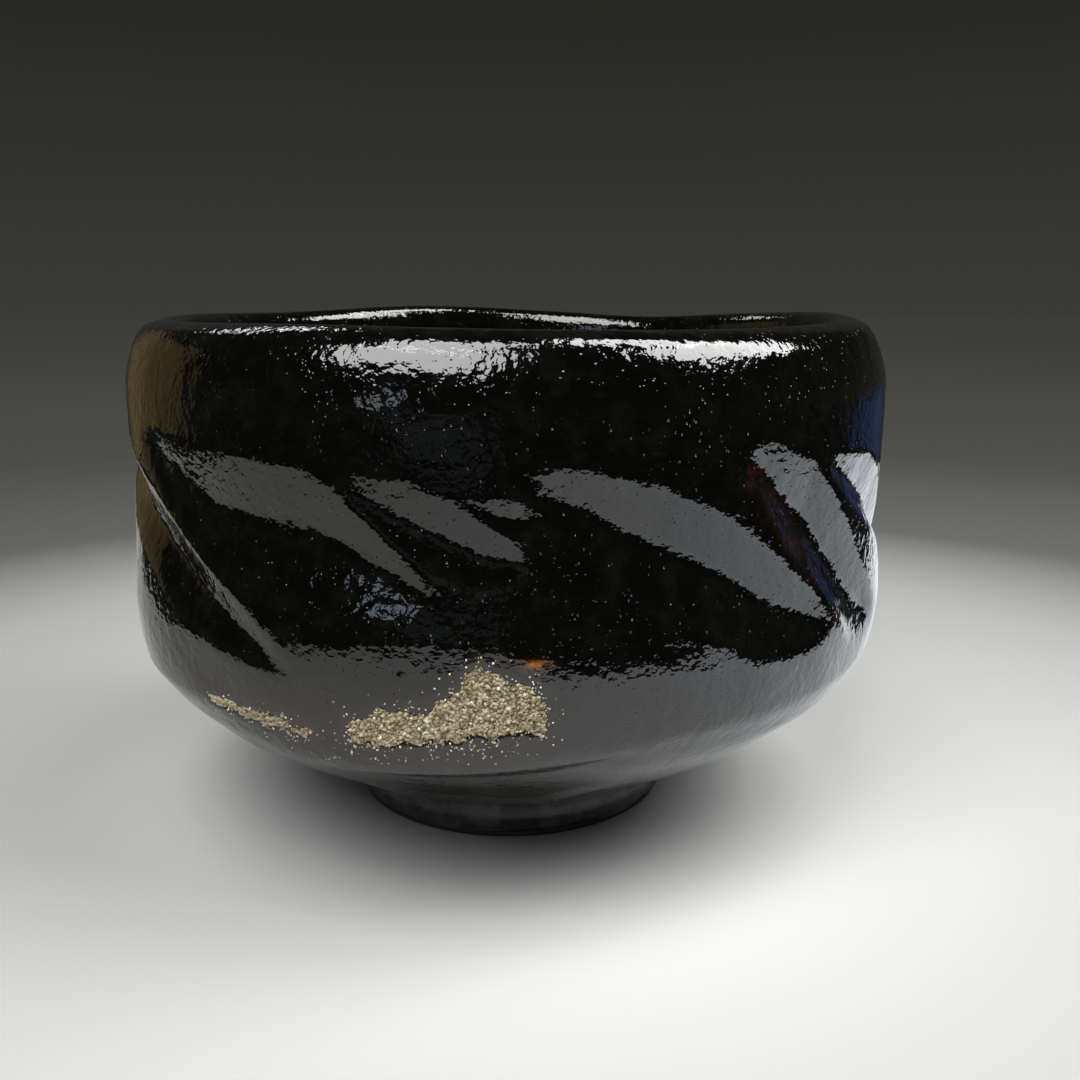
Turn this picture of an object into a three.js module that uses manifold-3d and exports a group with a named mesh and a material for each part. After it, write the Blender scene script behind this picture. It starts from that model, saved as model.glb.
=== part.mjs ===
// A hand-formed black tea bowl: a clay vessel with knife-cut flutes and a trimmed underside, a ring foot,
// coats of glaze and two windows of coarse grit.
// Millimetres. Origin: the centre of the foot, on the plane it stands on. +Z is up and -Y is the front.
import * as THREE from "three";
import { mergeVertices } from "three/addons/utils/BufferGeometryUtils.js";
import Module from "manifold-3d";

// Driving dimensions
const HEIGHT = 80;
const WALL = 60.4; // outside radius of the upright wall
const FOOT = 26.2; // outside radius of the foot where it stands
const FOOT_HEIGHT = 7.4;
const RECESS = 20.5; // radius of the hollow under the foot
const WELL_HEIGHT = 13.4; // inside floor at the centre
const LIP_WIDTH = 9; // from the outside wall to the inner edge of the lip
const GLAZE = 1.0;
const FOOT_GLAZE = 0.6;
const GAP = 0.5; // left between touching pieces
const COLUMNS = 48;
const LEAN = 35; // degrees the mesh columns lean round the bowl, alongside the flutes
const FLUTE_TOP = 64;
const FLUTE_FOOT = 40;

const wasm = await Module();
wasm.setup();

// The section of the glazed surface as [radius, height], from the crease above the foot up to the lip.
const OUTSIDE = [
  [FOOT + 2.0, FOOT_HEIGHT],
  [FOOT + 6.4, FOOT_HEIGHT + 1.1],
  [FOOT + 11, FOOT_HEIGHT + 3.9],
  [WALL - 17.6, 14.6],
  [WALL - 12.6, 17.6],
  [WALL - 8.4, 20.4],
  [WALL - 5.5, 22.6],
  [WALL - 3.6, 24.3],
  [WALL - 2.1, 26.2],
  [WALL - 0.8, 28.7],
  [WALL - 0.1, 31.4],
  [WALL + 0.4, 34.6],
  [WALL + 0.7, 38],
  [WALL + 0.6, 41.5],
  [WALL + 0.3, 45],
  [WALL, 48.5],
  [WALL - 0.1, 52],
  [WALL - 0.1, 55.5],
  [WALL, 59],
  [WALL, 62.5],
  [WALL, 66],
  [WALL - 0.15, HEIGHT - 9.4],
  [WALL - 0.7, HEIGHT - 6.2],
  [WALL - 1.8, HEIGHT - 3.0],
  [WALL - 3.2, HEIGHT - 1.1],
  [WALL - 5.0, HEIGHT - 0.25],
  [WALL - 6.9, HEIGHT],
  [WALL - LIP_WIDTH + 0.5, HEIGHT - 1.1],
  [WALL - LIP_WIDTH, HEIGHT - 3.4],
  [WALL - LIP_WIDTH + 0.1, HEIGHT - 5.2],
];

// The section goes on down the inside to the middle of the well.
const INSIDE = [
  [WALL - LIP_WIDTH + 0.14, HEIGHT - 5.55],
  [WALL - 7.9, HEIGHT - 12],
  [WALL - 7.0, 60],
  [WALL - 7.2, 46],
  [WALL - 9.2, 34],
  [WALL - 14.4, 24.5],
  [WALL - 24, 18],
  [WALL - 36, 15.2],
  [WALL - 43, WELL_HEIGHT + 1.1],
  [WALL - 47, WELL_HEIGHT + 0.2],
  [0, WELL_HEIGHT],
];

// Hills and hollows of the lip: [direction, height, spread], in degrees and millimetres.
const LIP_WAVES = [
  [-160, 1.1, 22],
  [149, -1.0, 18],
  [-98, 0.4, 25],
  [95, 0.7, 22],
  [-30, 0.4, 24],
  [30, -0.3, 24],
];

// Knife cuts. Each has the corners of its upper edge as [direction, height], how far it reaches down,
// the shares of that reach where it is deepest, and its depth.
const FLUTES = [
  {
    edge: [[-99, 70], [-70, 64], [-55, 58.3], [-40, 49], [-24, 38]],
    reach: 13,
    deepest: [0.46, 0.5],
    depth: 1.9,
  },
  {
    edge: [[-58, 67.5], [-46, 65.5], [-25, 64], [-20, 61.5], [-7, 50]],
    reach: 18.5,
    deepest: [0.42, 0.46],
    depth: 2,
  },
  { edge: [[-20, 63.5], [-12, 63], [-5, 60], [3, 54]], reach: 11, deepest: [0.46, 0.5], depth: 1.1 },
  { edge: [[-5, 60.8], [9, 60.8]], reach: 5, deepest: [0.5, 0.55], depth: 0.5 },
  {
    edge: [[0, 64.5], [9, 64], [18, 61.5], [27, 57], [48, 41.5]],
    reach: 17,
    deepest: [0.42, 0.46],
    depth: 1.75,
  },
  {
    edge: [[27, 67.5], [33, 66.5], [42, 63], [50, 55], [65, 38]],
    reach: 17.5,
    deepest: [0.44, 0.48],
    depth: 2.05,
  },
  { edge: [[44, 64], [58, 62.2], [68, 58], [86, 43]], reach: 11, deepest: [0.48, 0.52], depth: 1.9 },
  { edge: [[72, 65], [86, 60], [110, 43]], reach: 13, deepest: [0.44, 0.48], depth: 1.5 },
  { edge: [[94, 66], [110, 63], [135, 44]], reach: 16, deepest: [0.44, 0.48], depth: 1.8 },
  { edge: [[120, 64], [136, 57], [154, 46]], reach: 12, deepest: [0.44, 0.48], depth: 1.3 },
  { edge: [[142, 66], [162, 62], [189, 41]], reach: 17, deepest: [0.44, 0.48], depth: 1.8 },
  { edge: [[170, 64], [188, 57], [208, 45]], reach: 13, deepest: [0.44, 0.48], depth: 1.3 },
  { edge: [[194, 66], [212, 62], [236, 43]], reach: 16, deepest: [0.44, 0.48], depth: 1.8 },
  { edge: [[221, 64], [238, 57], [256, 46]], reach: 12, deepest: [0.44, 0.48], depth: 1.3 },
  { edge: [[236, 66], [250, 62], [270, 45]], reach: 13, deepest: [0.44, 0.48], depth: 1.4 },
];
const TRIMS = [
  {
    edge: [[-52, 40], [-35, 38.8], [-26, 41.2], [-9, 43.6], [-3, 43], [8, 39.5]],
    reach: 17,
    deepest: [0.4, 0.45],
    depth: 0.55,
  },
  { edge: [[-72, 29], [-23, 31.8]], reach: 11, deepest: [0.35, 0.6], depth: 0.9 },
  { edge: [[-34, 21.8], [18, 28.2]], reach: 24, deepest: [0.13, 0.7], depth: 2.4 },
  { edge: [[12, 29], [104, 32]], reach: 15, deepest: [0.25, 0.5], depth: 0.8 },
  { edge: [[96, 24], [158, 22]], reach: 16, deepest: [0.08, 0.6], depth: 1.8 },
  { edge: [[146, 27], [212, 29]], reach: 14, deepest: [0.2, 0.5], depth: 0.9 },
  { edge: [[204, 23], [256, 25]], reach: 16, deepest: [0.08, 0.6], depth: 1.6 },
  { edge: [[246, 26], [304, 24]], reach: 12, deepest: [0.15, 0.5], depth: 0.8 },
];

// Outlines of the grit windows, as [sideways, height] seen along their own direction.
const LARGE_WINDOW = {
  direction: -7,
  outline: [
    [-14, 30],
    [-9.5, 29.2],
    [-2, 30.2],
    [6, 31],
    [11.3, 31.6],
    [11.6, 36.8],
    [7.6, 38],
    [5.6, 40.2],
    [3.4, 40],
    [1, 37.6],
    [-1.4, 35],
    [-6.4, 33.6],
    [-13, 32.2],
  ],
};
const SMALL_WINDOW = {
  direction: -34,
  outline: [
    [-9, 30],
    [-3, 28.9],
    [7.6, 28.1],
    [8, 29.5],
    [2, 30.4],
    [-4, 31],
    [-9.4, 31.2],
  ],
};

const radians = (degrees) => (degrees * Math.PI) / 180;

function smooth(share) {
  const t = Math.min(Math.max(share, 0), 1);
  return t * t * (3 - 2 * t);
}

// The turn from one direction to another, from -180 to 180 degrees.
const turnBetween = (from, to) => ((((to - from + 180) % 360) + 360) % 360) - 180;

// The height of a cut's upper edge, some degrees round from where the cut starts.
function edgeHeight(edge, turn) {
  const after = Math.max(edge.findIndex(([direction]) => direction - edge[0][0] >= turn), 1);
  const [[from, start], [to, end]] = [edge[after - 1], edge[after]];
  return start + ((end - start) * (turn + edge[0][0] - from)) / (to - from);
}

// How deep one knife cut is: a flat slope in from its upper edge, then a slow return. It narrows at its ends.
function cutDepth(cut, direction, height) {
  const first = cut.edge[0][0];
  const length = cut.edge.at(-1)[0] - first;
  const turn = length / 2 + turnBetween(first + length / 2, direction);
  if (turn <= 0 || turn >= length) return 0;
  const along = turn / length;
  const ends = smooth(along / 0.12) * smooth((1 - along) / 0.15);
  const wide = 0.4 + 0.6 * smooth(along / 0.4) * smooth((1 - along) / 0.35);
  const down = (edgeHeight(cut.edge, turn) - height) / (cut.reach * wide);
  if (down <= 0 || down >= 1) return 0;
  const [start, end] = cut.deepest;
  return cut.depth * wide * ends * Math.min(down / start, 1) * smooth((1 - down) / (1 - end));
}

// Where flutes cross, the deeper one shows. The trimming cuts take more away below them.
function allCuts(direction, height) {
  const flute = Math.max(...FLUTES.map((cut) => cutDepth(cut, direction, height)));
  return TRIMS.reduce((sum, cut) => sum + cutDepth(cut, direction, height), flute);
}

function lipWave(direction) {
  return LIP_WAVES.reduce((sum, [at, rise, spread]) => {
    const away = turnBetween(at, direction) / spread;
    return sum + rise * Math.exp(-away * away);
  }, 0);
}

// A hand-formed wall isn't quite round.
const unevenness = (direction) =>
  0.25 * Math.cos(radians(2 * direction + 40)) + 0.15 * Math.cos(radians(5 * direction));

const leanAt = (height) => LEAN * smooth((FLUTE_TOP - height) / (FLUTE_TOP - FLUTE_FOOT));

// The outside section in one column of the mesh, as points with their own direction.
function outsideLine(column) {
  return OUTSIDE.map(([radius, height]) => {
    const direction = column + leanAt(height);
    const free = smooth((height - FOOT_HEIGHT) / 3);
    return {
      direction,
      r: radius + free * (unevenness(direction) - allCuts(direction, height)),
      z: height + lipWave(direction) * smooth((height - 60) / 20),
    };
  });
}

function insideLine(column) {
  return INSIDE.map(([radius, height]) => ({
    direction: column,
    r: radius + (unevenness(column) * radius) / WALL,
    z: height + lipWave(column) * smooth((height - 60) / 20),
  }));
}

// A line moved into the body it bounds, square to itself. The body lies on the line's left.
function inset(line, depth) {
  return line.map((point, i) => {
    const before = line[Math.max(i - 1, 0)];
    const after = line[Math.min(i + 1, line.length - 1)];
    const along = new THREE.Vector2(after.r - before.r, after.z - before.z).normalize();
    const r = point.r === 0 ? 0 : Math.max(point.r - along.y * depth, 0);
    return { direction: point.direction, r, z: point.z + along.x * depth };
  });
}

const plain = (column, points) => points.map(([r, z]) => ({ direction: column, r, z }));

// A body of revolution whose section may differ from column to column.
function turned(sectionAt) {
  const first = sectionAt(0).map((p) => new THREE.Vector2(p.r, p.z));
  const geometry = new THREE.LatheGeometry(first, COLUMNS);
  const positions = geometry.attributes.position;
  for (let column = 0; column <= COLUMNS; column++) {
    sectionAt((360 * (column % COLUMNS)) / COLUMNS).forEach((p, i) => {
      const angle = radians(p.direction);
      const vertex = column * first.length + i;
      positions.setXYZ(vertex, p.r * Math.sin(angle), -p.r * Math.cos(angle), p.z);
    });
  }
  return welded(geometry);
}

function welded(geometry) {
  geometry.deleteAttribute("normal");
  geometry.deleteAttribute("uv");
  return mergeVertices(geometry, 1e-4);
}

function clayBodySection(column) {
  const turnedColumn = column + LEAN;
  const base = plain(turnedColumn, [
    [0, FOOT_HEIGHT - 0.5],
    [FOOT - 0.4, FOOT_HEIGHT - 0.5],
    [FOOT + 0.1, FOOT_HEIGHT + 0.7],
  ]);
  const skin = [...outsideLine(column), ...insideLine(column).slice(1)];
  return [...base, ...inset(skin, GLAZE + GAP)];
}

function outerGlazeSection(column) {
  const front = outsideLine(column);
  const back = inset([...front, ...insideLine(column)], GLAZE).slice(0, front.length);
  return [...front, ...back.reverse(), front[0]];
}

function innerGlazeSection(column) {
  const outside = outsideLine(column);
  const front = insideLine(column);
  const back = inset([...outside, ...front], GLAZE).slice(outside.length);
  return [...back.reverse(), ...front];
}

function footRingSection(column) {
  const points = [
    [RECESS + 0.5, 0],
    [FOOT - 0.6, 0],
    [FOOT, 0.5],
    [FOOT, 1.0],
    [FOOT - 0.7, 1.1],
    [FOOT + 0.4, 3.4],
    [FOOT + 0.2, 5.4],
    [FOOT - 0.4, FOOT_HEIGHT - 0.8],
    [RECESS, FOOT_HEIGHT - 0.8],
    [RECESS, 1.0],
  ];
  return plain(column, [...points, points[0]]);
}

function footGlazeSection(column) {
  const front = [
    [FOOT + 0.2, 1.4],
    [FOOT + 1.3, 3.4],
    [FOOT + 1.1, 5.4],
    [FOOT + 0.6, FOOT_HEIGHT - 0.3],
  ];
  const back = front.map(([r, z]) => [r - FOOT_GLAZE, z]).reverse();
  return plain(column, [...front, ...back, front[0]]);
}

function recessGlazeSection(column) {
  const outer = RECESS - GAP;
  const ceiling = FOOT_HEIGHT - 0.5 - GAP;
  return plain(column, [
    [0, ceiling - FOOT_GLAZE],
    [outer - FOOT_GLAZE - 1, ceiling - FOOT_GLAZE],
    [outer - FOOT_GLAZE, ceiling - FOOT_GLAZE - 1],
    [outer - FOOT_GLAZE, 1.3],
    [outer, 1.3],
    [outer, ceiling],
    [0, ceiling],
  ]);
}

// A block with a window's outline, standing across the wall in the window's direction.
function windowBlock({ direction, outline }, margin) {
  const middle = outline
    .reduce(([x, y], [u, v]) => [x + u, y + v], [0, 0])
    .map((sum) => sum / outline.length);
  const points = outline.map(([u, v]) => {
    const out = new THREE.Vector2(u - middle[0], v - middle[1]);
    const grown = out.clone().setLength(out.length() + margin);
    return new THREE.Vector2(grown.x + middle[0], grown.y + middle[1]);
  });
  const block = new THREE.ExtrudeGeometry(new THREE.Shape(points), { depth: 30, bevelEnabled: false });
  block.translate(0, 0, WALL - 25);
  block.rotateX(Math.PI / 2);
  block.rotateZ(radians(direction));
  return welded(block);
}

function toSolid(geometry) {
  const vertProperties = new Float32Array(geometry.attributes.position.array);
  const triVerts = new Uint32Array(geometry.index.array);
  return new wasm.Manifold(new wasm.Mesh({ numProp: 3, vertProperties, triVerts }));
}

function toGeometry(solid) {
  const { vertProperties, triVerts } = solid.getMesh();
  return new THREE.BufferGeometry()
    .setAttribute("position", new THREE.BufferAttribute(vertProperties, 3))
    .setIndex(new THREE.BufferAttribute(triVerts, 1));
}

const group = new THREE.Group();

function add(name, geometry, color, roughness) {
  const material = new THREE.MeshStandardMaterial({ color, roughness, metalness: 0 });
  const mesh = new THREE.Mesh(geometry, material);
  mesh.name = name;
  group.add(mesh);
}

const glazeCoat = toSolid(turned(outerGlazeSection));
const largePatch = glazeCoat.intersect(toSolid(windowBlock(LARGE_WINDOW, -GAP / 2)));
const smallPatch = glazeCoat.intersect(toSolid(windowBlock(SMALL_WINDOW, -GAP / 2)));
const openedCoat = glazeCoat
  .subtract(toSolid(windowBlock(LARGE_WINDOW, GAP)))
  .subtract(toSolid(windowBlock(SMALL_WINDOW, GAP)));

add("clay_body", turned(clayBodySection), 0x6b5a49, 0.85);
add("foot_ring", turned(footRingSection), 0x3a342e, 0.8);
add("outer_glaze", toGeometry(openedCoat), 0x0b0b0a, 0.12);
add("inner_glaze", turned(innerGlazeSection), 0x0c0c0b, 0.15);
add("foot_glaze", turned(footGlazeSection), 0x1c1b19, 0.4);
add("recess_glaze", turned(recessGlazeSection), 0x1c1b19, 0.4);
add("grit_patch_large", toGeometry(largePatch), 0xa8966f, 0.9);
add("grit_patch_small", toGeometry(smallPatch), 0x9a8a6a, 0.9);

export default group;
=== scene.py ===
"""The looks of a hand-formed black tea bowl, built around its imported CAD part.

Lengths are millimetres in the bowl's own frame, and each mesh is written in metres. Directions are degrees
round the bowl from the front (-Y) towards +X.
"""

import math

import bpy
import numpy as np
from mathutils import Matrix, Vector, noise


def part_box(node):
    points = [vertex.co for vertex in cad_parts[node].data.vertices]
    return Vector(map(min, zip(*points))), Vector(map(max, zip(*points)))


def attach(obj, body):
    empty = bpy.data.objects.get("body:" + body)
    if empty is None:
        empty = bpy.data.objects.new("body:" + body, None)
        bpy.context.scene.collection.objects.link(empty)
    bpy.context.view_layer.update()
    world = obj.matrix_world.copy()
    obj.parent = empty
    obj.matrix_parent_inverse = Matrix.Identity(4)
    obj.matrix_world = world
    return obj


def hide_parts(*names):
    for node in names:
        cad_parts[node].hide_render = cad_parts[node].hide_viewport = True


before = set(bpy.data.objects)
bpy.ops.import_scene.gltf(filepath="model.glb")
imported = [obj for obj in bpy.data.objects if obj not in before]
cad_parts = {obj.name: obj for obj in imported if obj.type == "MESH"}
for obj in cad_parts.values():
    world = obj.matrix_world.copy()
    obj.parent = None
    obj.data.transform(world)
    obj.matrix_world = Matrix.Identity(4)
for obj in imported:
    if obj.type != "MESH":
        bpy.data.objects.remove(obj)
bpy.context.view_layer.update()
MM = 0.001


def corner(node, high):
    """One corner of a CAD node's box, in millimetres."""
    return np.array(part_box(node)[1 if high else 0]) / MM


# Driving dimensions, read from the CAD
GLAZE = 1.0
GAP = 0.5  # left in the CAD between touching pieces
TALLEST_HILL = 1.08  # of the lip, above its mean height
HEIGHT = corner("outer_glaze", True)[2] - TALLEST_HILL
WALL = corner("outer_glaze", True)[0] - 0.47
FOOT = corner("foot_ring", True)[0] - 0.4
FOOT_HEIGHT = corner("outer_glaze", False)[2]
RECESS = corner("recess_glaze", True)[0] + GAP
CEILING = corner("recess_glaze", True)[2]
WELL_HEIGHT = corner("inner_glaze", False)[2] + GLAZE
FOOT_GLAZE = 0.6
LIP_WIDTH = 9
SEAM = 5.2  # from the top of the lip down to where the inside coat starts

# The section of the glazed surface, from the crease above the foot up the outside to the lip
OUTSIDE = [
    [FOOT + 2.0, FOOT_HEIGHT],
    [FOOT + 6.4, FOOT_HEIGHT + 1.1],
    [FOOT + 11, FOOT_HEIGHT + 3.9],
    [WALL - 17.6, 14.6],
    [WALL - 12.6, 17.6],
    [WALL - 8.4, 20.4],
    [WALL - 5.5, 22.6],
    [WALL - 3.6, 24.3],
    [WALL - 2.1, 26.2],
    [WALL - 0.8, 28.7],
    [WALL - 0.1, 31.4],
    [WALL + 0.4, 34.6],
    [WALL + 0.7, 38],
    [WALL + 0.6, 41.5],
    [WALL + 0.3, 45],
    [WALL, 48.5],
    [WALL - 0.1, 52],
    [WALL - 0.1, 55.5],
    [WALL, 59],
    [WALL, 62.5],
    [WALL, 66],
    [WALL - 0.15, HEIGHT - 9.4],
    [WALL - 0.7, HEIGHT - 6.2],
    [WALL - 1.8, HEIGHT - 3.0],
    [WALL - 3.2, HEIGHT - 1.1],
    [WALL - 5.0, HEIGHT - 0.25],
    [WALL - 6.9, HEIGHT],
    [WALL - LIP_WIDTH + 0.5, HEIGHT - 1.1],
    [WALL - LIP_WIDTH, HEIGHT - 3.4],
    [WALL - LIP_WIDTH + 0.1, HEIGHT - SEAM],
]
# The section goes on down the inside to the middle of the well
INSIDE = [
    [WALL - LIP_WIDTH + 0.1, HEIGHT - SEAM],
    [WALL - 7.9, HEIGHT - 12],
    [WALL - 7.0, 60],
    [WALL - 7.2, 46],
    [WALL - 9.2, 34],
    [WALL - 14.4, 24.5],
    [WALL - 24, 18],
    [WALL - 36, 15.2],
    [WALL - 43, WELL_HEIGHT + 1.1],
    [WALL - 47, WELL_HEIGHT + 0.2],
    [0, WELL_HEIGHT],
]
# Hills and hollows of the lip: direction, height, spread
LIP_WAVES = [
    [-160, 1.1, 22],
    [149, -1.0, 18],
    [-98, 0.4, 25],
    [95, 0.7, 22],
    [-30, 0.4, 24],
    [30, -0.3, 24],
]
# Knife cuts: corners of the upper edge, reach down, shares of the reach where the cut is deepest, depth
FLUTES = [
    [[(-99, 70), (-70, 64), (-55, 58.3), (-40, 49), (-24, 38)], 13, (0.46, 0.5), 1.9],
    [[(-58, 67.5), (-46, 65.5), (-25, 64), (-20, 61.5), (-7, 50)], 18.5, (0.42, 0.46), 2.0],
    [[(-20, 63.5), (-12, 63), (-5, 60), (3, 54)], 11, (0.46, 0.5), 1.1],
    [[(-5, 60.8), (9, 60.8)], 5, (0.5, 0.55), 0.5],
    [[(0, 64.5), (9, 64), (18, 61.5), (27, 57), (48, 41.5)], 17, (0.42, 0.46), 1.75],
    [[(27, 67.5), (33, 66.5), (42, 63), (50, 55), (65, 38)], 17.5, (0.44, 0.48), 2.05],
    [[(44, 64), (58, 62.2), (68, 58), (86, 43)], 11, (0.48, 0.52), 1.9],
    [[(72, 65), (86, 60), (110, 43)], 13, (0.44, 0.48), 1.5],
    [[(94, 66), (110, 63), (135, 44)], 16, (0.44, 0.48), 1.8],
    [[(120, 64), (136, 57), (154, 46)], 12, (0.44, 0.48), 1.3],
    [[(142, 66), (162, 62), (189, 41)], 17, (0.44, 0.48), 1.8],
    [[(170, 64), (188, 57), (208, 45)], 13, (0.44, 0.48), 1.3],
    [[(194, 66), (212, 62), (236, 43)], 16, (0.44, 0.48), 1.8],
    [[(221, 64), (238, 57), (256, 46)], 12, (0.44, 0.48), 1.3],
    [[(236, 66), (250, 62), (270, 45)], 13, (0.44, 0.48), 1.4],
]
TRIMS = [
    [[(-52, 40), (-35, 38.8), (-26, 41.2), (-9, 43.6), (-3, 43), (8, 39.5)], 17, (0.4, 0.45), 0.55],
    [[(-72, 29), (-23, 31.8)], 11, (0.35, 0.6), 0.9],
    [[(-34, 21.8), (18, 28.2)], 24, (0.13, 0.7), 2.4],
    [[(12, 29), (104, 32)], 15, (0.25, 0.5), 0.8],
    [[(96, 24), (158, 22)], 16, (0.08, 0.6), 1.8],
    [[(146, 27), (212, 29)], 14, (0.2, 0.5), 0.9],
    [[(204, 23), (256, 25)], 16, (0.08, 0.6), 1.6],
    [[(246, 26), (304, 24)], 12, (0.15, 0.5), 0.8],
]
# Windows in the glaze: direction, and the outline as sideways and height
LARGE_DIRECTION = -7
LARGE_OUTLINE = [
    [-14, 30],
    [-9.5, 29.2],
    [-2, 30.2],
    [6, 31],
    [11.3, 31.6],
    [11.6, 36.8],
    [7.6, 38],
    [5.6, 40.2],
    [3.4, 40],
    [1, 37.6],
    [-1.4, 35],
    [-6.4, 33.6],
    [-13, 32.2],
]
GRAIN = 0.33  # across one grain of the grit that shows in them
SMALL_DIRECTION = -34
SMALL_OUTLINE = [
    [-9, 30],
    [-3, 28.9],
    [7.6, 28.1],
    [8, 29.5],
    [2, 30.4],
    [-4, 31],
    [-9.4, 31.2],
]

# Where rust shows through the glaze: direction, height, spread in degrees and in millimetres
RUST = [
    (31, 62, 2.5, 2),
    (35, 58, 3, 2.5),
    (39, 53, 3, 3),
    (44, 47, 3, 2.5),
    (50, 40, 3, 2),
    (-0.5, 41.2, 2.6, 0.5),
]

# Camera and stage
CAMERA_PLACE = (0, -189, 84.8)
CAMERA_DOWN = 12.67  # degrees
CAMERA_RIGHT = 1.55
LENS = 37.4
FLOOR_SIDE = 6000
ROOM = (0.042, 0.044, 0.037)  # the dark of the room round the floor
PALE_RADIUS = 185  # of the sheet that the glaze reflects
SHEET_RISE = 0.05  # keeps it out of the floor's own shadow
CARD_REACH = 420  # from the bowl to the cards that tint its sides


# ---------------------------------------------------------------- shape


def smooth(share):
    t = np.clip(share, 0, 1)
    return t * t * (3 - 2 * t)


def turn_between(start, end):
    return (end - start + 180) % 360 - 180


def spline(points, at):
    """Points on the smooth curve through the given ones, at positions counted in points."""
    points = np.array(points, float)
    ends = [2 * points[0] - points[1], 2 * points[-1] - points[-2]]
    padded = np.vstack([ends[:1], points, ends[1:]])
    i = np.minimum(at.astype(int), len(points) - 2)
    t = (at - i)[:, None]
    a, b, c, d = (padded[i + k] for k in range(4))
    return 0.5 * (
        2 * b + (c - a) * t + (2 * a - 5 * b + 4 * c - d) * t**2 + (3 * b - a - 3 * c + d) * t**3
    )


def even_steps(points, count):
    """Positions along the smooth curve through the points, an even distance apart."""
    at = np.linspace(0, len(points) - 1, 2000)
    curve = spline(points, at)
    lengths = np.linalg.norm(np.diff(curve, axis=0), axis=1)
    travelled = np.concatenate([[0], np.cumsum(lengths)])
    return np.interp(np.linspace(0, travelled[-1], count), travelled, at)


def cut_depth(cut, direction, height):
    """How deep one knife cut is: a flat slope in from its upper edge, then a slow return."""
    corners, reach, deepest, depth = cut
    at = np.array([corner[0] for corner in corners], float)
    levels = [corner[1] for corner in corners]
    length = at[-1] - at[0]
    turn = length / 2 + turn_between(at[0] + length / 2, direction)
    edge = np.interp(turn, at - at[0], levels)
    along = turn / length
    ends = smooth(along / 0.12) * smooth((1 - along) / 0.15)
    wide = 0.4 + 0.6 * smooth(along / 0.4) * smooth((1 - along) / 0.35)
    down = (edge - height) / (reach * wide)
    entry = np.clip(down / deepest[0], 0, 1)
    return depth * wide * ends * entry * smooth((1 - down) / (1 - deepest[1]))


def all_cuts(direction, height):
    deepest_flute = np.maximum.reduce([cut_depth(cut, direction, height) for cut in FLUTES])
    return deepest_flute + sum(cut_depth(cut, direction, height) for cut in TRIMS)


def lip_wave(direction):
    waves = ((turn_between(at, direction) / spread, rise) for at, rise, spread in LIP_WAVES)
    return sum(rise * np.exp(-away * away) for away, rise in waves)


def unevenness(direction):
    """A hand-formed wall isn't quite round."""
    return 0.25 * np.cos(np.radians(2 * direction + 40)) + 0.15 * np.cos(np.radians(5 * direction))


def lift(direction, height):
    return lip_wave(direction) * smooth((height - 60) / 20)


def outside_radius(direction, radius, height):
    free = smooth((height - FOOT_HEIGHT) / 3)
    return radius + free * (unevenness(direction) - all_cuts(direction, height))


def place(direction, radius, height):
    angle = np.radians(direction)
    return np.stack([radius * np.sin(angle), -radius * np.cos(angle), height], axis=-1)


def roughen(points, size, depth, seed=0.0):
    """Smooth random heights at the points, for lumps of a given size."""
    flat = points.reshape(-1, 3) / size + seed
    values = [noise.noise(Vector(p)) for p in flat.tolist()]
    return depth * np.array(values).reshape(points.shape[:-1])


def hand_marks(points):
    """The soft lumps that fingers, tools and thick glaze leave. The trimmed underside is smoother."""
    lumps = (
        roughen(points, 16, 0.2, 3.1)
        + roughen(points, 6, 0.09, 7.7)
        + roughen(points, 2.4, 0.05, 1.3)
    )
    return lumps * (0.3 + 0.7 * smooth((points[..., 2] - 20) / 5))


def inset(section, depth):
    """Sections moved into the body on their left, square to themselves."""
    before = np.concatenate([section[:, :1], section[:, :-1]], axis=1)
    after = np.concatenate([section[:, 1:], section[:, -1:]], axis=1)
    along = after[..., 1:] - before[..., 1:]
    along /= np.maximum(np.linalg.norm(along, axis=-1, keepdims=True), 1e-9)
    moved = section.copy()
    moved[..., 1] = np.maximum(section[..., 1] - along[..., 1] * depth, 0)
    moved[..., 2] = section[..., 2] + along[..., 0] * depth
    return moved


def outside_sections(columns, rows):
    curve = spline(OUTSIDE, rows)
    direction, height = np.meshgrid(columns, curve[:, 1], indexing="ij")
    radius = outside_radius(direction, curve[None, :, 0], height)
    return np.stack([direction, radius, height + lift(direction, height)], axis=-1)


def inside_sections(columns, rows):
    curve = spline(INSIDE, rows)
    direction, height = np.meshgrid(columns, curve[:, 1], indexing="ij")
    radius = curve[None, :, 0] * (1 + unevenness(direction) / WALL)
    return np.stack([direction, radius, height + lift(direction, height)], axis=-1)


def to_points(sections):
    return place(sections[..., 0], sections[..., 1], sections[..., 2])


def outline_distance(outline, across, height):
    """How far points lie outside an outline; inside it the distance is negative."""
    corners = np.array(outline, float)
    best = np.full(across.shape, 1e9)
    inside = np.zeros(across.shape, bool)
    for (x0, y0), (x1, y1) in zip(corners, np.roll(corners, -1, axis=0)):
        dx, dy = x1 - x0, y1 - y0
        t = np.clip(((across - x0) * dx + (height - y0) * dy) / (dx * dx + dy * dy), 0, 1)
        best = np.minimum(best, np.hypot(across - x0 - t * dx, height - y0 - t * dy))
        if dy:
            crosses = (height < y0) != (height < y1)
            inside ^= crosses & (across < x0 + (height - y0) * dx / dy)
    return np.where(inside, -best, best)


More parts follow.
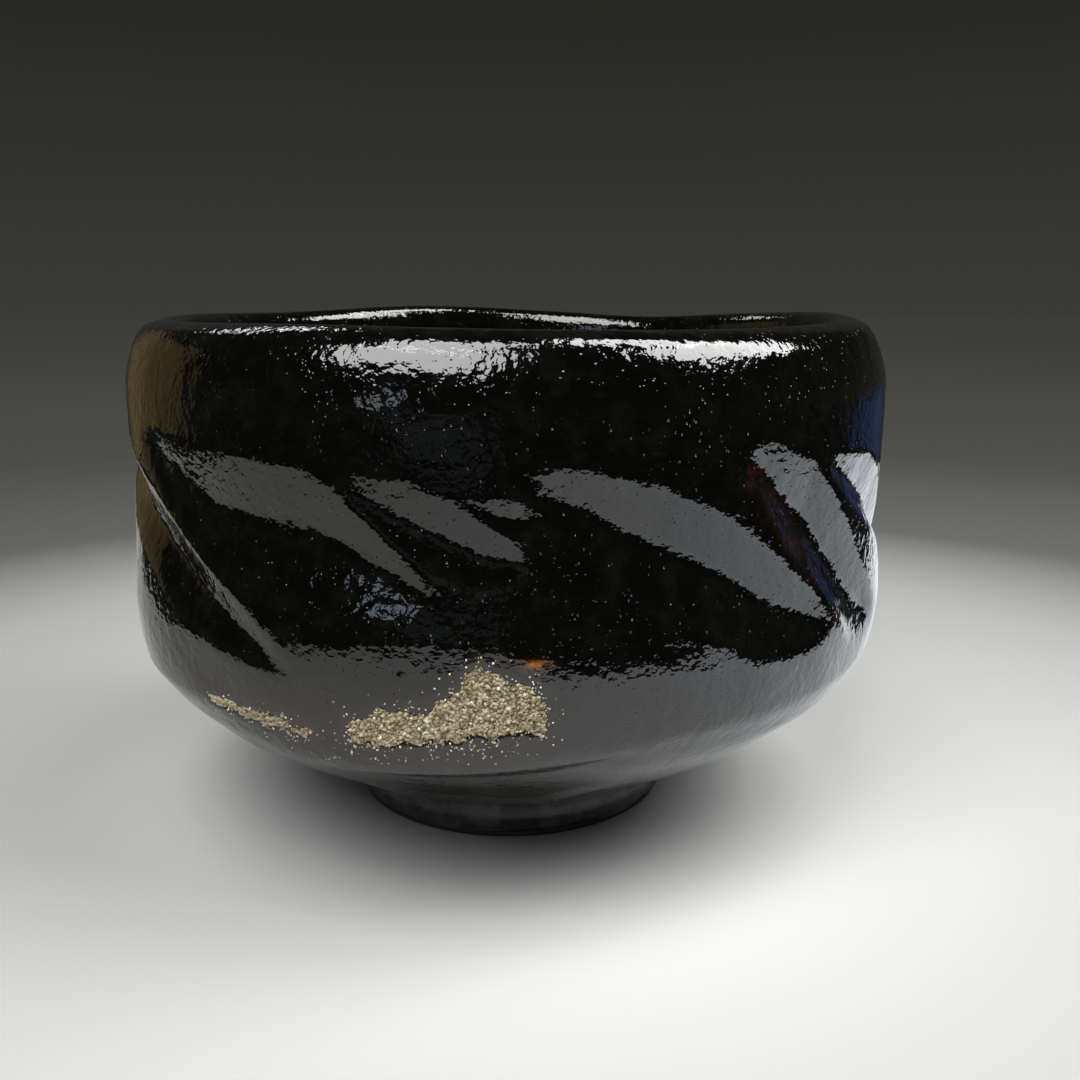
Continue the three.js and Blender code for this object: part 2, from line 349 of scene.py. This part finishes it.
def window_distance(direction, radius, height, points):
    """Distance outside the nearer glaze window, with a ragged edge."""
    ragged = roughen(points, 2.2, 1.3, 5.2) + roughen(points, 0.8, 0.6, 9.4)
    found = np.full(direction.shape, 1e9)
    for middle, outline in ((LARGE_DIRECTION, LARGE_OUTLINE), (SMALL_DIRECTION, SMALL_OUTLINE)):
        turn = turn_between(middle, direction)
        across = radius * np.sin(np.radians(turn))
        away = outline_distance(outline, across, height)
        found = np.minimum(found, np.where(abs(turn) < 60, away, 1e9))
    return found + ragged


# ---------------------------------------------------------------- meshes


def make_piece(name, points, faces, material, body="root"):
    mesh = bpy.data.meshes.new(name)
    mesh.from_pydata((np.asarray(points).reshape(-1, 3) * MM).tolist(), [], faces)
    mesh.polygons.foreach_set("use_smooth", [True] * len(mesh.polygons))
    mesh.materials.append(material)
    mesh.update()
    mesh.set_sharp_from_angle(angle=math.radians(55))
    piece = bpy.data.objects.new(name, mesh)
    bpy.context.scene.collection.objects.link(piece)
    if body:
        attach(piece, body)
    return piece


def paint(piece, name, values):
    attribute = piece.data.attributes.new(name, "FLOAT", "POINT")
    attribute.data.foreach_set("value", np.asarray(values, np.float32).ravel())


def ring_faces(columns, points, closed):
    """Faces between neighbouring sections; an open section is closed at both ends by a fan on the axis."""
    index = np.arange(columns * points).reshape(columns, points)
    beside = np.roll(index, -1, axis=0)
    if closed:
        quads = [index, beside, np.roll(beside, -1, axis=1), np.roll(index, -1, axis=1)]
        return np.stack(quads, axis=-1).reshape(-1, 4).tolist()
    quads = [index[:, :-1], beside[:, :-1], beside[:, 1:], index[:, 1:]]
    faces = np.stack(quads, axis=-1).reshape(-1, 4).tolist()
    low, high = columns * points, columns * points + 1
    faces += [[low, b, a] for a, b in zip(index[:, 0].tolist(), beside[:, 0].tolist())]
    faces += [[high, a, b] for a, b in zip(index[:, -1].tolist(), beside[:, -1].tolist())]
    return faces


def turned_piece(name, points, material, low=None, high=None):
    """A solid from sections round the bowl; low and high are heights on the axis where sections stay open."""
    columns, count = points.shape[:2]
    closed = low is None
    flat = points.reshape(-1, 3)
    if not closed:
        flat = np.vstack([flat, [0, 0, low], [0, 0, high]])
    return make_piece(name, flat, ring_faces(columns, count, closed), material)


# ---------------------------------------------------------------- materials


class Nodes:
    """A short way to write a material's node tree."""

    def __init__(self, name, roughness, ior=1.5):
        self.material = bpy.data.materials.new(name)
        self.material.use_nodes = True
        self.tree = self.material.node_tree
        self.shader = self.tree.nodes["Principled BSDF"]
        self.shader.inputs["Roughness"].default_value = roughness
        self.shader.inputs["IOR"].default_value = ior
        self.place = self.add("ShaderNodeTexCoord").outputs["Object"]

    def add(self, kind, **inputs):
        node = self.tree.nodes.new(kind)
        for key, value in inputs.items():
            socket = node.inputs[key.replace("_", " ")]
            if isinstance(value, bpy.types.NodeSocket):
                self.tree.links.new(value, socket)
            else:
                socket.default_value = value
        return node

    def noise(self, size, detail=2.0, roughness=0.5):
        """Noise with lumps of about size millimetres."""
        node = self.add("ShaderNodeTexNoise", Vector=self.place, Scale=1 / (size * MM))
        node.inputs["Detail"].default_value = detail
        node.inputs["Roughness"].default_value = roughness
        return node.outputs["Fac"]

    def cells(self, size, feature="F1"):
        node = self.add("ShaderNodeTexVoronoi", Vector=self.place, Scale=1 / (size * MM))
        node.feature = feature
        return node.outputs["Distance"]

    def math(self, operation, a, b):
        node = self.tree.nodes.new("ShaderNodeMath")
        node.operation = operation
        for socket, value in zip(node.inputs, (a, b)):
            if isinstance(value, bpy.types.NodeSocket):
                self.tree.links.new(value, socket)
            else:
                socket.default_value = value
        return node.outputs[0]

    def ramp(self, factor, stops):
        node = self.add("ShaderNodeValToRGB", Fac=factor)
        while len(node.color_ramp.elements) < len(stops):
            node.color_ramp.elements.new(0.5)
        for element, (position, color) in zip(node.color_ramp.elements, stops):
            element.position = position
            element.color = (*color, 1) if len(color) == 3 else color
        return node.outputs["Color"]

    def steps(self, factor, low, high):
        node = self.add("ShaderNodeMapRange", Value=factor)
        node.inputs["From Min"].default_value = low
        node.inputs["From Max"].default_value = high
        return node.outputs["Result"]

    def mix(self, factor, a, b):
        node = self.tree.nodes.new("ShaderNodeMix")
        node.data_type = "RGBA"
        sockets = (node.inputs[0], node.inputs[6], node.inputs[7])
        for socket, value in zip(sockets, (factor, a, b)):
            if isinstance(value, bpy.types.NodeSocket):
                self.tree.links.new(value, socket)
            else:
                socket.default_value = value if np.isscalar(value) else (*value, 1)
        return node.outputs[2]

    def mask(self, name):
        node = self.tree.nodes.new("ShaderNodeAttribute")
        node.attribute_name = name
        return node.outputs["Fac"]

    def bump(self, height, depth, normal=None):
        """A bump whose height runs from 0 to depth millimetres."""
        node = self.add("ShaderNodeBump", Height=height, Distance=depth * MM)
        if normal is not None:
            self.tree.links.new(normal, node.inputs["Normal"])
        return node.outputs["Normal"]

    def finish(self, color, normal=None, roughness=None):
        links = {"Base Color": color, "Normal": normal, "Roughness": roughness}
        for key, value in links.items():
            if isinstance(value, bpy.types.NodeSocket):
                self.tree.links.new(value, self.shader.inputs[key])
            elif value is not None:
                self.shader.inputs[key].default_value = (*value, 1)
        return self.material


BLACK = (0.0008, 0.0008, 0.0006)


def black_glaze():
    m = Nodes("black_glaze", 0.07, ior=1.58)
    thin_glaze_and_painted_reflection = m.mask("thin_glaze_and_painted_reflection")
    amber = m.mask("amber")
    rust = m.math("MULTIPLY", m.mask("rust"), m.steps(m.noise(0.9, 4, 0.6), 0.5, 0.6))
    dappled = m.ramp(m.noise(3.5, 4, 0.6), [(0.48, BLACK), (0.7, (0.003, 0.0031, 0.0026))])
    # Painted reflection: under the bowl the base colour is mixed to grey, standing in for the reflection of
    # the lit floor.
    under = m.mix(m.mask("painted_floor_reflection"), dappled, (0.11, 0.11, 0.107))
    # Brown where the glaze is thinner round the windows; low on the front of the belly the same brown is a
    # painted reflection tint.
    haze = m.mix(thin_glaze_and_painted_reflection, under, (0.02, 0.015, 0.013))
    warm = m.mix(rust, haze, (0.022, 0.004, 0.003))
    flame = m.ramp(m.noise(0.9, 3), [(0.4, (0.02, 0.004, 0.001)), (0.6, (0.4, 0.13, 0.012))])
    color = m.mix(amber, warm, flame)
    normal = m.bump(m.noise(1.6, 1.0), 0.13)
    normal = m.bump(m.noise(0.6, 1.0), 0.05, normal)
    pits = m.steps(m.cells(0.85), 0.18, 0.02)
    clusters = m.steps(m.noise(2.5, 4, 0.7), 0.44, 0.62)
    often = m.math("ADD", clusters, m.math("MULTIPLY", m.mask("pitted"), 0.5))
    scattered = m.math("MULTIPLY", pits, often)
    normal = m.bump(scattered, -0.085, normal)
    return m.finish(color, normal)


def inner_glaze():
    m = Nodes("inner_black_glaze", 0.14, ior=1.55)
    normal = m.bump(m.noise(2.2, 1.0), 0.05)
    normal = m.bump(m.noise(0.7, 1.0), 0.012, normal)
    return m.finish(BLACK, normal)


def foot_glaze(name="foot_glaze"):
    m = Nodes(name, 0.34, ior=1.5)
    blotches = [(0.4, (0.004, 0.004, 0.0035)), (0.62, (0.06, 0.06, 0.056))]
    color = m.ramp(m.noise(3.2, 4, 0.6), blotches)
    normal = m.bump(m.noise(1.2, 3.0, 0.6), 0.07)
    normal = m.bump(m.noise(0.35, 2.0), 0.02, normal)
    return m.finish(color, normal)


def foot_clay():
    m = Nodes("foot_clay", 0.8)
    color = m.ramp(m.noise(1.5, 5, 0.7), [(0.3, (0.012, 0.01, 0.008)), (0.7, (0.035, 0.028, 0.022))])
    return m.finish(color, m.bump(m.noise(0.5, 4.0, 0.7), 0.1))


def body_clay():
    m = Nodes("clay", 0.85)
    color = m.ramp(m.noise(1.8, 5, 0.7), [(0.3, (0.16, 0.12, 0.08)), (0.7, (0.34, 0.27, 0.19))])
    return m.finish(color, m.bump(m.noise(0.6, 4.0, 0.7), 0.12))


def grit_material():
    m = Nodes("grit", 0.5, ior=1.5)
    grain = m.mask("grain")
    # The near-white top stop paints glints on the palest grains; the rest are the grains' own tones, and the
    # gaps between grains take the dark end as painted shade.
    stops = [
        (0.0, (0.05, 0.036, 0.02)),
        (0.2, (0.19, 0.15, 0.085)),
        (0.55, (0.34, 0.285, 0.175)),
        (0.85, (0.5, 0.44, 0.31)),
        (0.95, (0.85, 0.82, 0.72)),
    ]
    return m.finish(m.ramp(grain, stops), m.bump(m.noise(0.25, 3.0), 0.04))


# ---------------------------------------------------------------- pieces

FRONT_STEP = 0.52  # degrees between columns on the front, where the cuts are seen closest
BACK_STEP = 1.0


def column_directions():
    front = np.arange(-100, 100, FRONT_STEP)
    back = np.arange(100, 260, BACK_STEP)
    return np.concatenate([front, back])


def make_outer_glaze():
    columns = column_directions()
    rows = even_steps(OUTSIDE, 150)
    front = outside_sections(columns, rows)
    back = inset(outside_sections(columns, np.linspace(0, len(OUTSIDE) - 1, 22)), GLAZE)
    points = to_points(front)
    curve = spline(OUTSIDE, rows)
    base_height = np.broadcast_to(curve[None, :, 1], front.shape[:2])
    near = window_distance(front[..., 0], front[..., 1], base_height, points)
    on_wall = base_height < 60
    sink = np.where(on_wall, 0.6 * smooth(0.4 - near / 0.8), 0)
    inside_lip = (front[..., 1] < WALL - 7) & (base_height > 70)
    seam = inside_lip * smooth((HEIGHT - 1 - base_height) / 4)
    front[..., 1] += hand_marks(points) * (1 - seam) - sink
    section = np.concatenate([front, back[:, ::-1]], axis=1)
    piece = turned_piece("outer_glaze_coat", to_points(section), black_glaze())
    unseen = np.zeros((len(columns), back.shape[1]))
    for name, mask in glaze_masks(front[..., 0], base_height, near).items():
        paint(piece, name, np.concatenate([mask, unseen], axis=1))
    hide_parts("outer_glaze")


def spots(direction, height, places):
    """Soft round spots, each given as direction, height, spread in degrees and in millimetres."""
    found = np.zeros(direction.shape)
    for at, level, wide, tall in places:
        found += np.exp(-(((direction - at) / wide) ** 2) - ((height - level) / tall) ** 2)
    return np.clip(found, 0, 1)


def glaze_masks(direction, height, near):
    """Where the glaze is thinner by the windows, amber, rusty, or more pitted than elsewhere; also where a
    brown reflection tint and, under the bowl, a grey reflection of the lit floor are painted into the colour.
    """
    # low marks the lower front of the belly, where a brown reflection tint is painted into the colour.
    low = smooth((40 - height) / 10) * smooth((direction + 75) / 25) * smooth((28 - direction) / 20)
    thin_glaze_and_painted_reflection = np.clip(0.7 * low + smooth((2.2 - near) / 2.2), 0, 1)
    amber = spots(direction, height, [(2.8, 40.5, 1.1, 0.5)])
    rust = spots(direction, height, RUST)
    # Painted reflection of the lit floor: grey colour under the bowl, from the front round to the right.
    painted_floor_reflection = smooth((26 - height) / 3) * smooth((direction + 30) / 45) * smooth((110 - direction) / 40)
    pitted = spots(direction, height, [(34, 68, 24, 7)])
    return {"thin_glaze_and_painted_reflection": thin_glaze_and_painted_reflection, "amber": amber, "rust": rust, "painted_floor_reflection": painted_floor_reflection, "pitted": pitted}


def make_inner_glaze():
    columns = np.arange(0, 360, 1.0)
    front = inside_sections(columns, even_steps(INSIDE, 120)[:-1])
    back = inset(inside_sections(columns, np.linspace(0, len(INSIDE) - 1.05, 24)), GLAZE)
    below_seam = smooth((HEIGHT - SEAM - front[..., 2]) / 6)
    front[..., 1] -= hand_marks(to_points(front)) * smooth(front[..., 1] / 12) * below_seam
    section = np.concatenate([back[:, ::-1], front], axis=1)
    bottom, top = WELL_HEIGHT - GLAZE, WELL_HEIGHT
    piece = turned_piece("inner_glaze_coat", to_points(section), inner_glaze(), bottom, top)
    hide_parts("inner_glaze")


def smooth_loop(points, steps):
    """A closed section drawn through the given corners with evenly spread extra points."""
    corners = np.array([*points, points[0]], float)
    at = np.linspace(0, len(points), steps * len(points), endpoint=False)
    i = at.astype(int)
    return corners[i] + (corners[i + 1] - corners[i]) * (at - i)[:, None]


def plain_sections(columns, curve):
    direction, radius = np.meshgrid(columns, curve[:, 0], indexing="ij")
    return np.stack([direction, radius, np.broadcast_to(curve[:, 1], radius.shape)], axis=-1)


def make_foot():
    columns = np.arange(0, 360, 1.5)
    ring = [
        [RECESS + 0.5, 0],
        [FOOT - 0.6, 0],
        [FOOT - 0.2, 0.15],
        [FOOT, 0.5],
        [FOOT, 1.0],
        [FOOT - 0.7, 1.1],
        [FOOT + 0.4, 3.4],
        [FOOT + 0.2, 5.4],
        [FOOT - 0.4, FOOT_HEIGHT - 0.8],
        [RECESS, FOOT_HEIGHT - 0.8],
        [RECESS, 1.0],
        [RECESS + 0.15, 0.3],
    ]
    sections = plain_sections(columns, smooth_loop(ring, 3))
    piece = turned_piece("foot_ring_clay", to_points(sections), foot_clay())
    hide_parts("foot_ring")


def make_foot_glaze():
    columns = np.arange(0, 360, 1.0)
    outer = spline(
        [
            [FOOT + 0.15, 1.15],
            [FOOT + 0.75, 2.0],
            [FOOT + 1.3, 3.6],
            [FOOT + 1.1, 5.3],
            [FOOT + 1.2, 6.5],
            [FOOT + 2.05, FOOT_HEIGHT + 0.05],
        ],
        np.linspace(0, 5, 30),
    )
    front = plain_sections(columns, outer)
    wobble = roughen(to_points(front), 9, 0.5, 2.2) * smooth((3 - front[..., 2]) / 2)
    back = plain_sections(columns, outer[::-3] - [[FOOT_GLAZE, 0]])
    front[..., 1] += roughen(to_points(front), 5, 0.12, 6.1)
    front[..., 2] += wobble
    section = np.concatenate([front, back], axis=1)
    piece = turned_piece("foot_glaze_coat", to_points(section), foot_glaze())
    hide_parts("foot_glaze")


def make_recess_glaze():
    columns = np.arange(0, 360, 2.0)
    outer = RECESS - GAP
    inner = outer - FOOT_GLAZE
    under = CEILING - FOOT_GLAZE
    bend_radius = 1.6
    quarter = np.linspace(0, 1.57, 8)
    bend = np.stack([np.sin(quarter), np.cos(quarter)], axis=1) - 1
    bend = (bend * bend_radius + [inner, under]).tolist()
    curve = [[r, under - 0.4 * (1 - r / inner)] for r in np.linspace(1, inner - 1.7, 10)]
    curve += [*bend, [inner, 3], [inner + 0.1, 1.3], [outer, 1.3], [outer, CEILING], [1, CEILING]]
    sections = plain_sections(columns, np.array(curve))
    low, high = under - 0.4, CEILING
    piece = turned_piece("recess_glaze_coat", to_points(sections), foot_glaze("recess_glaze"), low, high)
    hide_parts("recess_glaze")


def grain_field(xs, ys, rng):
    """Heights and colours of a bed of broken grains, each with its own tilted top, on a grid of places. The
    gaps between grains get a low tone, painted shade.
    """
    seeds = np.stack(np.meshgrid(np.arange(xs[0], xs[-1], GRAIN), np.arange(ys[0], ys[-1], GRAIN)), axis=-1)
    seeds = seeds.reshape(-1, 2) + rng.uniform(-0.45, 0.45, (seeds.size // 2, 2)) * GRAIN
    best = np.full((len(xs), len(ys)), -0.1)
    # Painted shade: the gaps between grains start with a low tone that colours them dark.
    grain_tone_and_painted_shade = np.full((len(xs), len(ys)), 0.1)
    for x, y in seeds:
        reach = GRAIN * rng.choice([0.45, 0.65, 0.9])
        rise, tone = rng.uniform(0.0, 0.2), rng.beta(2.0, 2.0)
        tilt = rng.normal(0, 0.5, 2)
        near_x = slice(*np.searchsorted(xs, (x - 1.2 * reach, x + 1.2 * reach)))
        near_y = slice(*np.searchsorted(ys, (y - 1.2 * reach, y + 1.2 * reach)))
        dx, dy = xs[near_x, None] - x, ys[None, near_y] - y
        away = np.hypot(dx, dy) / reach
        grain = rise + tilt[0] * dx + tilt[1] * dy - 0.25 * away**4
        higher = (grain > best[near_x, near_y]) & (away < 1.15)
        best[near_x, near_y] = np.where(higher, grain, best[near_x, near_y])
        grain_tone_and_painted_shade[near_x, near_y] = np.where(higher, tone, grain_tone_and_painted_shade[near_x, near_y])
    return np.clip(best, -0.1, 0.4), grain_tone_and_painted_shade


def small_grains(direction, outline, count, rng):
    """Loose grains half sunk in the glaze, close together at a window's edge and thinning out below it."""
    corners = np.array(outline, float)
    low, high = corners.min(axis=0) - [3.5, 4.2], corners.max(axis=0) + [2.5, 1.5]
    spread = rng.uniform(low, high, (count * 9, 2))
    radius = surface_radius(direction, spread[:, 0], spread[:, 1])
    turn = direction + np.degrees(np.arcsin(spread[:, 0] / radius))
    centres = place(turn, radius, spread[:, 1])
    near = window_distance(turn, radius, spread[:, 1], centres)
    under = spread[:, 1] < corners[:, 1].min() + 1.5
    chance = np.exp(-near / 0.7) + np.where(under, 0.3 * np.exp(-near / 2), 0)
    chosen = centres[(near > 0) & (rng.random(len(near)) < chance)][:count]
    verts, faces, tones = [], [], []
    ball = np.array([(x, y, z) for x in (-1, 1) for y in (-1, 1) for z in (-1, 1)])
    sides = [(0, 1, 3, 2), (4, 6, 7, 5), (0, 4, 5, 1), (2, 3, 7, 6), (0, 2, 6, 4), (1, 5, 7, 3)]
    for centre in chosen:
        size = rng.uniform(0.05, 0.14)
        faces += [[len(verts) + k for k in side] for side in sides]
        verts += (ball * size * rng.uniform(0.5, 1.0, (8, 3)) + centre).tolist()
        # Loose grains' tones reach the top of the grit ramp, where glints are painted near white.
        tones += [rng.uniform(0.45, 1.0)] * 8
    return verts, faces, tones


def surface_radius(direction, across, height):
    """The outside radius at a place beside a direction, on the belly."""
    curve = spline(OUTSIDE, np.linspace(0, 20, 600))
    base = np.interp(height, curve[:, 1], curve[:, 0])
    turn = direction + np.degrees(np.arcsin(np.clip(across / base, -1, 1)))
    return outside_radius(turn, base, np.asarray(height, float))


def make_grit(name, node, direction, outline, seed, loose):
    rng = np.random.default_rng(seed)
    corners = np.array(outline, float)
    low, high = corners.min(axis=0) - 1.2, corners.max(axis=0) + 1.2
    xs = np.arange(low[0], high[0], GRAIN / 3)
    ys = np.arange(low[1], high[1], GRAIN / 3)
    across, height = np.meshgrid(xs, ys, indexing="ij")
    radius = surface_radius(direction, across, height)
    turn = direction + np.degrees(np.arcsin(across / radius))
    points = place(turn, radius, height)
    near = window_distance(turn, radius, height, points)
    grains, grain_tone_and_painted_shade = grain_field(xs, ys, rng)
    bed = -0.08 - 0.6 * smooth((near + 0.1) / 0.5)
    front = place(turn, radius + hand_marks(points) + bed + grains * smooth((0.4 - near) / 0.5), height)
    back = place(turn, radius - GLAZE, height)
    points, faces = slab(front, back)
    tones = np.concatenate([grain_tone_and_painted_shade.ravel(), grain_tone_and_painted_shade.ravel()])
    more, sides, hues = small_grains(direction, outline, loose, rng)
    faces += [[i + len(points) for i in face] for face in sides]
    points = np.vstack([points, more])
    tones = np.concatenate([tones, hues])
    piece = make_piece(name, points, faces, grit_material())
    piece.data.polygons.foreach_set("use_smooth", [False] * len(piece.data.polygons))
    paint(piece, "grain", tones)
    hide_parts(node)


def slab(front, back):
    """A closed plate between two grids of the same size."""
    rows, columns = front.shape[:2]
    index = np.arange(rows * columns).reshape(rows, columns)
    a, b, c, d = index[:-1, :-1], index[1:, :-1], index[1:, 1:], index[:-1, 1:]
    face = np.stack([a, b, c, d], axis=-1).reshape(-1, 4)
    far = face[:, ::-1] + rows * columns
    edge = np.concatenate([index[:, 0], index[-1, 1:], index[-2::-1, -1], index[0, -2:0:-1]])
    after = np.roll(edge, -1)
    wall = np.stack([after, edge, edge + rows * columns, after + rows * columns], axis=-1)
    points = np.vstack([front.reshape(-1, 3), back.reshape(-1, 3)])
    return points, np.vstack([face, far, wall]).tolist()


# ---------------------------------------------------------------- stage


def floor_material(name):
    """Pale by the bowl, falling off into the dark of the room: a painted pool of light, with a painted glow
    of room light further out.
    """
    m = Nodes(name, 0.9)
    spot = m.add("ShaderNodeNewGeometry").outputs["Position"]
    flat = m.add("ShaderNodeVectorMath", Vector=spot)
    flat.operation = "MULTIPLY"
    flat.inputs[1].default_value = (1, 1, 0)
    away = m.add("ShaderNodeVectorMath", Vector=flat.outputs["Vector"])
    away.operation = "LENGTH"
    share = m.steps(away.outputs["Value"], 0, 1.0)
    pale = 0.36
    # Painted light: the colour is a pool of light round the bowl, a little darker against the foot, brightest
    # about 50 mm out where it lightens the shade in front of the bowl, then fading with distance.
    stops = [
        (0.03, (0.9 * pale, 0.9 * pale, 0.89 * pale)),
        (0.05, (1.25 * pale, 1.25 * pale, 1.23 * pale)),
        (0.085, (pale, pale, 0.985 * pale)),
        (0.16, (0.64 * pale, 0.64 * pale, 0.63 * pale)),
        (0.24, (0.14 * pale, 0.14 * pale, 0.135 * pale)),
        (0.4, (0.003, 0.003, 0.003)),
        (0.6, (0, 0, 0)),
    ]
    # Painted room light: the floor glows with the room's colour beyond about 140 mm.
    painted_room_glow = m.ramp(share, [(0.14, (0, 0, 0)), (0.36, ROOM)])
    m.tree.links.new(painted_room_glow, m.shader.inputs["Emission Color"])
    m.shader.inputs["Emission Strength"].default_value = 1
    return m.finish(m.ramp(share, stops))


def pale_material():
    """The pale sheet is warmer and dimmer on the left, further from the stronger light."""
    m = Nodes("pale_sheet", 0.9)
    sideways = m.add("ShaderNodeSeparateXYZ", Vector=m.place).outputs["X"]
    stops = [(0, (0.27, 0.27, 0.25)), (0.5, (0.42, 0.425, 0.42)), (1, (0.66, 0.69, 0.73))]
    return m.finish(m.ramp(m.steps(sideways, -0.15, 0.15), stops))


def show_to_glaze_only(piece):
    for ray in ("camera", "diffuse", "shadow", "transmission", "volume_scatter"):
        setattr(piece, "visible_" + ray, False)


def make_floor():
    half = FLOOR_SIDE / 2
    square = [[-half, -half, 0], [half, -half, 0], [half, half, 0], [-half, half, 0]]
    floor = make_piece("floor", square, [[0, 1, 2, 3]], floor_material("floor"), body=None)
    floor.visible_glossy = False
    turns = np.arange(-180, 180, 5.0)
    reach = PALE_RADIUS + 70 * smooth((abs(turns) - 100) / 20) + 145 * smooth((abs(turns) - 125) / 25)
    disc = place(turns, reach, np.full(len(turns), SHEET_RISE))
    sheet = make_piece("pale_sheet", disc, [list(range(len(disc)))], pale_material(), body=None)
    show_to_glaze_only(sheet)


def make_light(name, azimuth, elevation, distance, width, height, strength, color=(1, 1, 1)):
    """A soft panel that faces the bowl; strength is its brightness."""
    data = bpy.data.lights.new(name, "AREA")
    data.shape = "RECTANGLE"
    data.size, data.size_y = width * MM, height * MM
    data.energy = strength * math.pi * width * height * MM * MM
    data.color = color
    light = bpy.data.objects.new(name, data)
    bpy.context.scene.collection.objects.link(light)
    a, e = math.radians(azimuth), math.radians(elevation)
    aim = Vector((math.sin(a) * math.cos(e), -math.cos(a) * math.cos(e), math.sin(e)))
    target = Vector((0, 0, HEIGHT * 0.6 * MM))
    light.location = target + aim * distance * MM
    light.rotation_euler = aim.to_track_quat("Z", "Y").to_euler()


def make_card(name, azimuth, span, top, radiance):
    """A dim upright sheet that only the glaze reflects, like coloured things standing round the room."""
    angles = np.radians(np.linspace(azimuth - span, azimuth + span, 9))
    low = [[CARD_REACH * math.sin(a), -CARD_REACH * math.cos(a), -0.5] for a in angles]
    high = [[x, y, top] for x, y, _ in low]
    faces = [[i, i + 1, i + 10, i + 9] for i in range(8)]
    m = Nodes(name, 0.9)
    m.shader.inputs["Emission Color"].default_value = (*radiance, 1)
    m.shader.inputs["Emission Strength"].default_value = 1
    card = make_piece(name, low + high, faces, m.finish((0, 0, 0)), body=None)
    show_to_glaze_only(card)
    return card


def make_lights():
    make_light("left_low", -31, 44, 900, 700, 400, 8.5)
    make_light("left_high", -31, 68, 900, 420, 440, 8.5)
    make_light("right_low", 80, 44, 900, 640, 380, 11.5)
    make_light("right_high", 92, 66, 900, 300, 400, 11.5)
    make_light("back_left", -146, 38, 1000, 420, 60, 6)
    make_light("window", -35, 12.5, 900, 160, 130, 2.2, (0.72, 0.85, 1))
    make_card("brown_card", -119, 21, 230, (0.17, 0.12, 0.045))
    make_card("blue_card", 127, 14, 45, (0.028, 0.055, 0.15))
    make_card("grey_card", -18, 13, 80, (0.09, 0.115, 0.1))
    make_card("dark_card", 180, 40, 330, (0.01, 0.01, 0.009))


def make_world():
    world = bpy.data.worlds.new("room")
    bpy.context.scene.world = world
    world.use_nodes = True
    tree = world.node_tree
    coordinate = tree.nodes.new("ShaderNodeTexCoord")
    split = tree.nodes.new("ShaderNodeSeparateXYZ")
    tree.links.new(coordinate.outputs["Generated"], split.inputs[0])
    ramp = tree.nodes.new("ShaderNodeValToRGB")
    rise = tree.nodes.new("ShaderNodeMapRange")
    rise.inputs["From Min"].default_value = -0.08
    tree.links.new(split.outputs["Z"], rise.inputs["Value"])
    tree.links.new(rise.outputs["Result"], ramp.inputs["Fac"])
    stops = [
        (0, (0.022, 0.023, 0.02)),
        (0.045, ROOM),
        (0.12, (0.036, 0.038, 0.032)),
        (0.3, (0.018, 0.018, 0.014)),
    ]
    for position in (0.3, 0.6):
        ramp.color_ramp.elements.new(position)
    for element, (position, color) in zip(ramp.color_ramp.elements, stops):
        element.position = position
        element.color = (*color, 1)
    tree.links.new(ramp.outputs["Color"], tree.nodes["Background"].inputs["Color"])


def make_camera():
    data = bpy.data.cameras.new("camera")
    data.lens = LENS
    data.sensor_width = 36
    data.clip_start = 0.005
    data.clip_end = 20
    camera = bpy.data.objects.new("camera", data)
    bpy.context.scene.collection.objects.link(camera)
    camera.location = Vector(CAMERA_PLACE) * MM
    camera.rotation_euler = (math.radians(90 - CAMERA_DOWN), 0, -math.radians(CAMERA_RIGHT))
    bpy.context.scene.camera = camera


def main():
    bpy.context.scene.view_settings.view_transform = "Standard"
    make_outer_glaze()
    make_inner_glaze()
    make_foot()
    make_foot_glaze()
    make_recess_glaze()
    make_grit("large_grit_bed", "grit_patch_large", LARGE_DIRECTION, LARGE_OUTLINE, 4, 300)
    make_grit("small_grit_bed", "grit_patch_small", SMALL_DIRECTION, SMALL_OUTLINE, 9, 70)
    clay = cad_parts["clay_body"]
    clay.data.materials.clear()
    clay.data.materials.append(body_clay())
    make_floor()
    make_lights()
    make_world()
    make_camera()


main()
